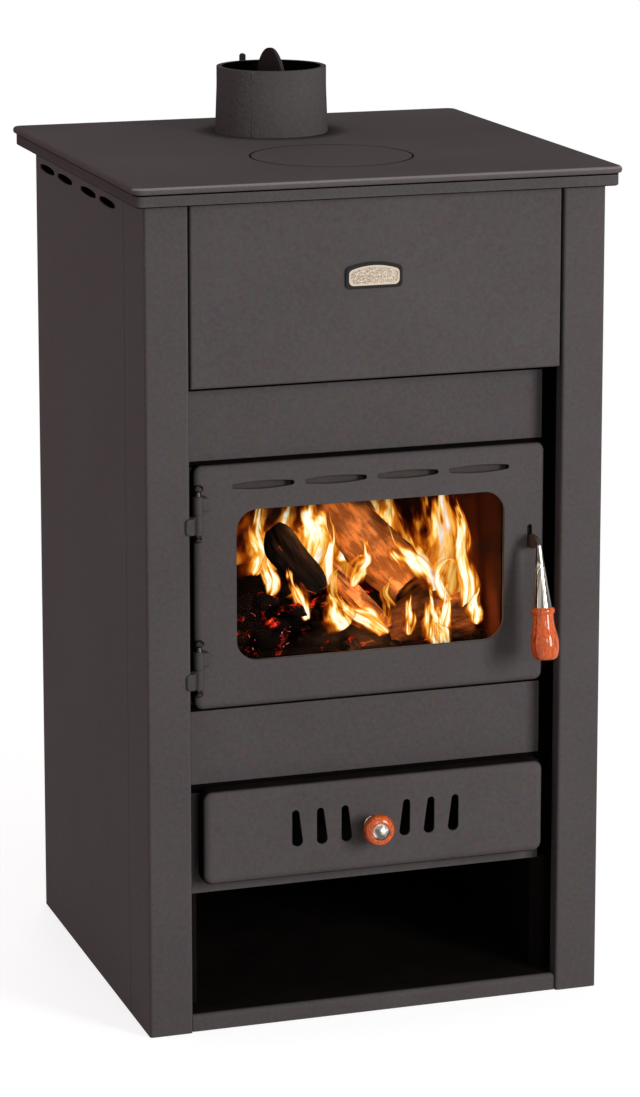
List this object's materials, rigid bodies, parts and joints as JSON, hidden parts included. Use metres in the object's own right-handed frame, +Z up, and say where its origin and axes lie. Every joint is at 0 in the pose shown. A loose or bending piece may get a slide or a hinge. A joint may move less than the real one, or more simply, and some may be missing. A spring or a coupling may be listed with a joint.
{
  "type": "wood-burning boiler stove",
  "caption": "Free-standing solid-fuel boiler stove with a glazed fire door, ash drawer, open wood bay, cast hob with a round lid, flue collar with damper, and water sockets behind.",
  "frame": {"origin": "on the floor, in the middle of the casing's footprint", "axes": "+Z up, -Y towards the person in front of the door, +X to that person's right"},
  "size_m": [0.508, 0.523, 0.9508],
  "materials": {
    "casing_paint": "satin anthracite paint",
    "boiler_steel": "matt heat-proof paint on boiler plate",
    "cast_iron": "sand-cast and blackened",
    "bright_steel": "plain drawn steel",
    "badge_metal": "brushed bare plate",
    "badge_surround": "dark satin",
    "window_glass": "clear ceramic glass",
    "seal_rope": "braided glass fibre",
    "chrome": "polished plating",
    "varnished_wood": "glossy orange-red varnish on turned wood"
  },
  "bodies": {
    "stove": {"back_panel": "casing_paint", "back_screws": "bright_steel", "badge_bezel": "badge_surround", "badge_plate": "badge_metal", "base_tray": "casing_paint", "boiler_floor_plate": "casing_paint", "boiler_front_plate": "casing_paint", "collar_bolts": "bright_steel", "drawer_runners": "boiler_steel", "fire_grate": "cast_iron", "flow_socket": "boiler_steel", "flue_collar": "cast_iron", "hearth_plate": "boiler_steel", "hinge_pins": "casing_paint", "hob_frame": "cast_iron", "hob_plate": "cast_iron", "jacket_inner_back": "boiler_steel", "jacket_outer_back": "boiler_steel", "jacket_top_cover": "boiler_steel", "latch_keeper": "boiler_steel", "left_front_post": "casing_paint", "left_jacket_inner_side": "boiler_steel", "left_jacket_outer_side": "boiler_steel", "left_side_panel": "casing_paint", "left_wood_bay_wall": "casing_paint", "post_knuckles": "casing_paint", "return_socket": "boiler_steel", "right_front_post": "casing_paint", "right_jacket_inner_side": "boiler_steel", "right_jacket_outer_side": "boiler_steel", "right_side_panel": "casing_paint", "right_wood_bay_wall": "casing_paint", "sensor_socket": "boiler_steel", "upper_front_panel": "casing_paint", "water_bridge": "boiler_steel"},
    "door": {"door_panel": "casing_paint", "door_glass": "window_glass", "glass_gasket": "seal_rope", "glass_clips": "bright_steel", "clip_screws": "bright_steel", "rope_channel": "boiler_steel", "door_rope_seal": "seal_rope", "air_wash_plate": "boiler_steel", "door_knuckles": "casing_paint", "latch_bracket": "boiler_steel", "latch_pin": "bright_steel"},
    "handle": {"latch_lever": "boiler_steel", "handle_cone": "chrome", "handle_grip": "varnished_wood"},
    "drawer": {"drawer_front": "casing_paint", "ash_tray": "boiler_steel", "shutter_guides": "boiler_steel"},
    "air_control": {"air_shutter": "boiler_steel", "knob_ferrule": "chrome", "air_knob": "varnished_wood", "knob_bolt": "chrome"},
    "damper": {"damper_disc": "cast_iron", "damper_spindle": "bright_steel", "damper_lever": "bright_steel"},
    "lid": {"hob_lid": "cast_iron"}
  },
  "joints": [
    {"name": "door_swing", "type": "hinge", "parent": "stove", "child": "door", "pos_m": [-0.1845, -0.205, 0.3285], "axis": [0, 0, -1], "range_deg": [0, 110]},
    {"name": "handle_lift", "type": "hinge", "parent": "door", "child": "handle", "pos_m": [0.1693, -0.1885, 0.478], "axis": [-1, 0, 0], "range_deg": [0, 35]},
    {"name": "drawer_slide", "type": "slide", "parent": "stove", "child": "drawer", "axis": [0, -1, 0], "range_m": [0, 0.28]},
    {"name": "air_slide", "type": "slide", "parent": "drawer", "child": "air_control", "axis": [1, 0, 0], "range_m": [0, 0.013]},
    {"name": "damper_turn", "type": "hinge", "parent": "stove", "child": "damper", "pos_m": [0, 0.1384, 0.899], "axis": [0, 1, 0], "range_deg": [0, 90]},
    {"name": "lid_lift", "type": "slide", "parent": "stove", "child": "lid", "axis": [0, 0, 1], "range_m": [0, 0.1]}
  ]
}
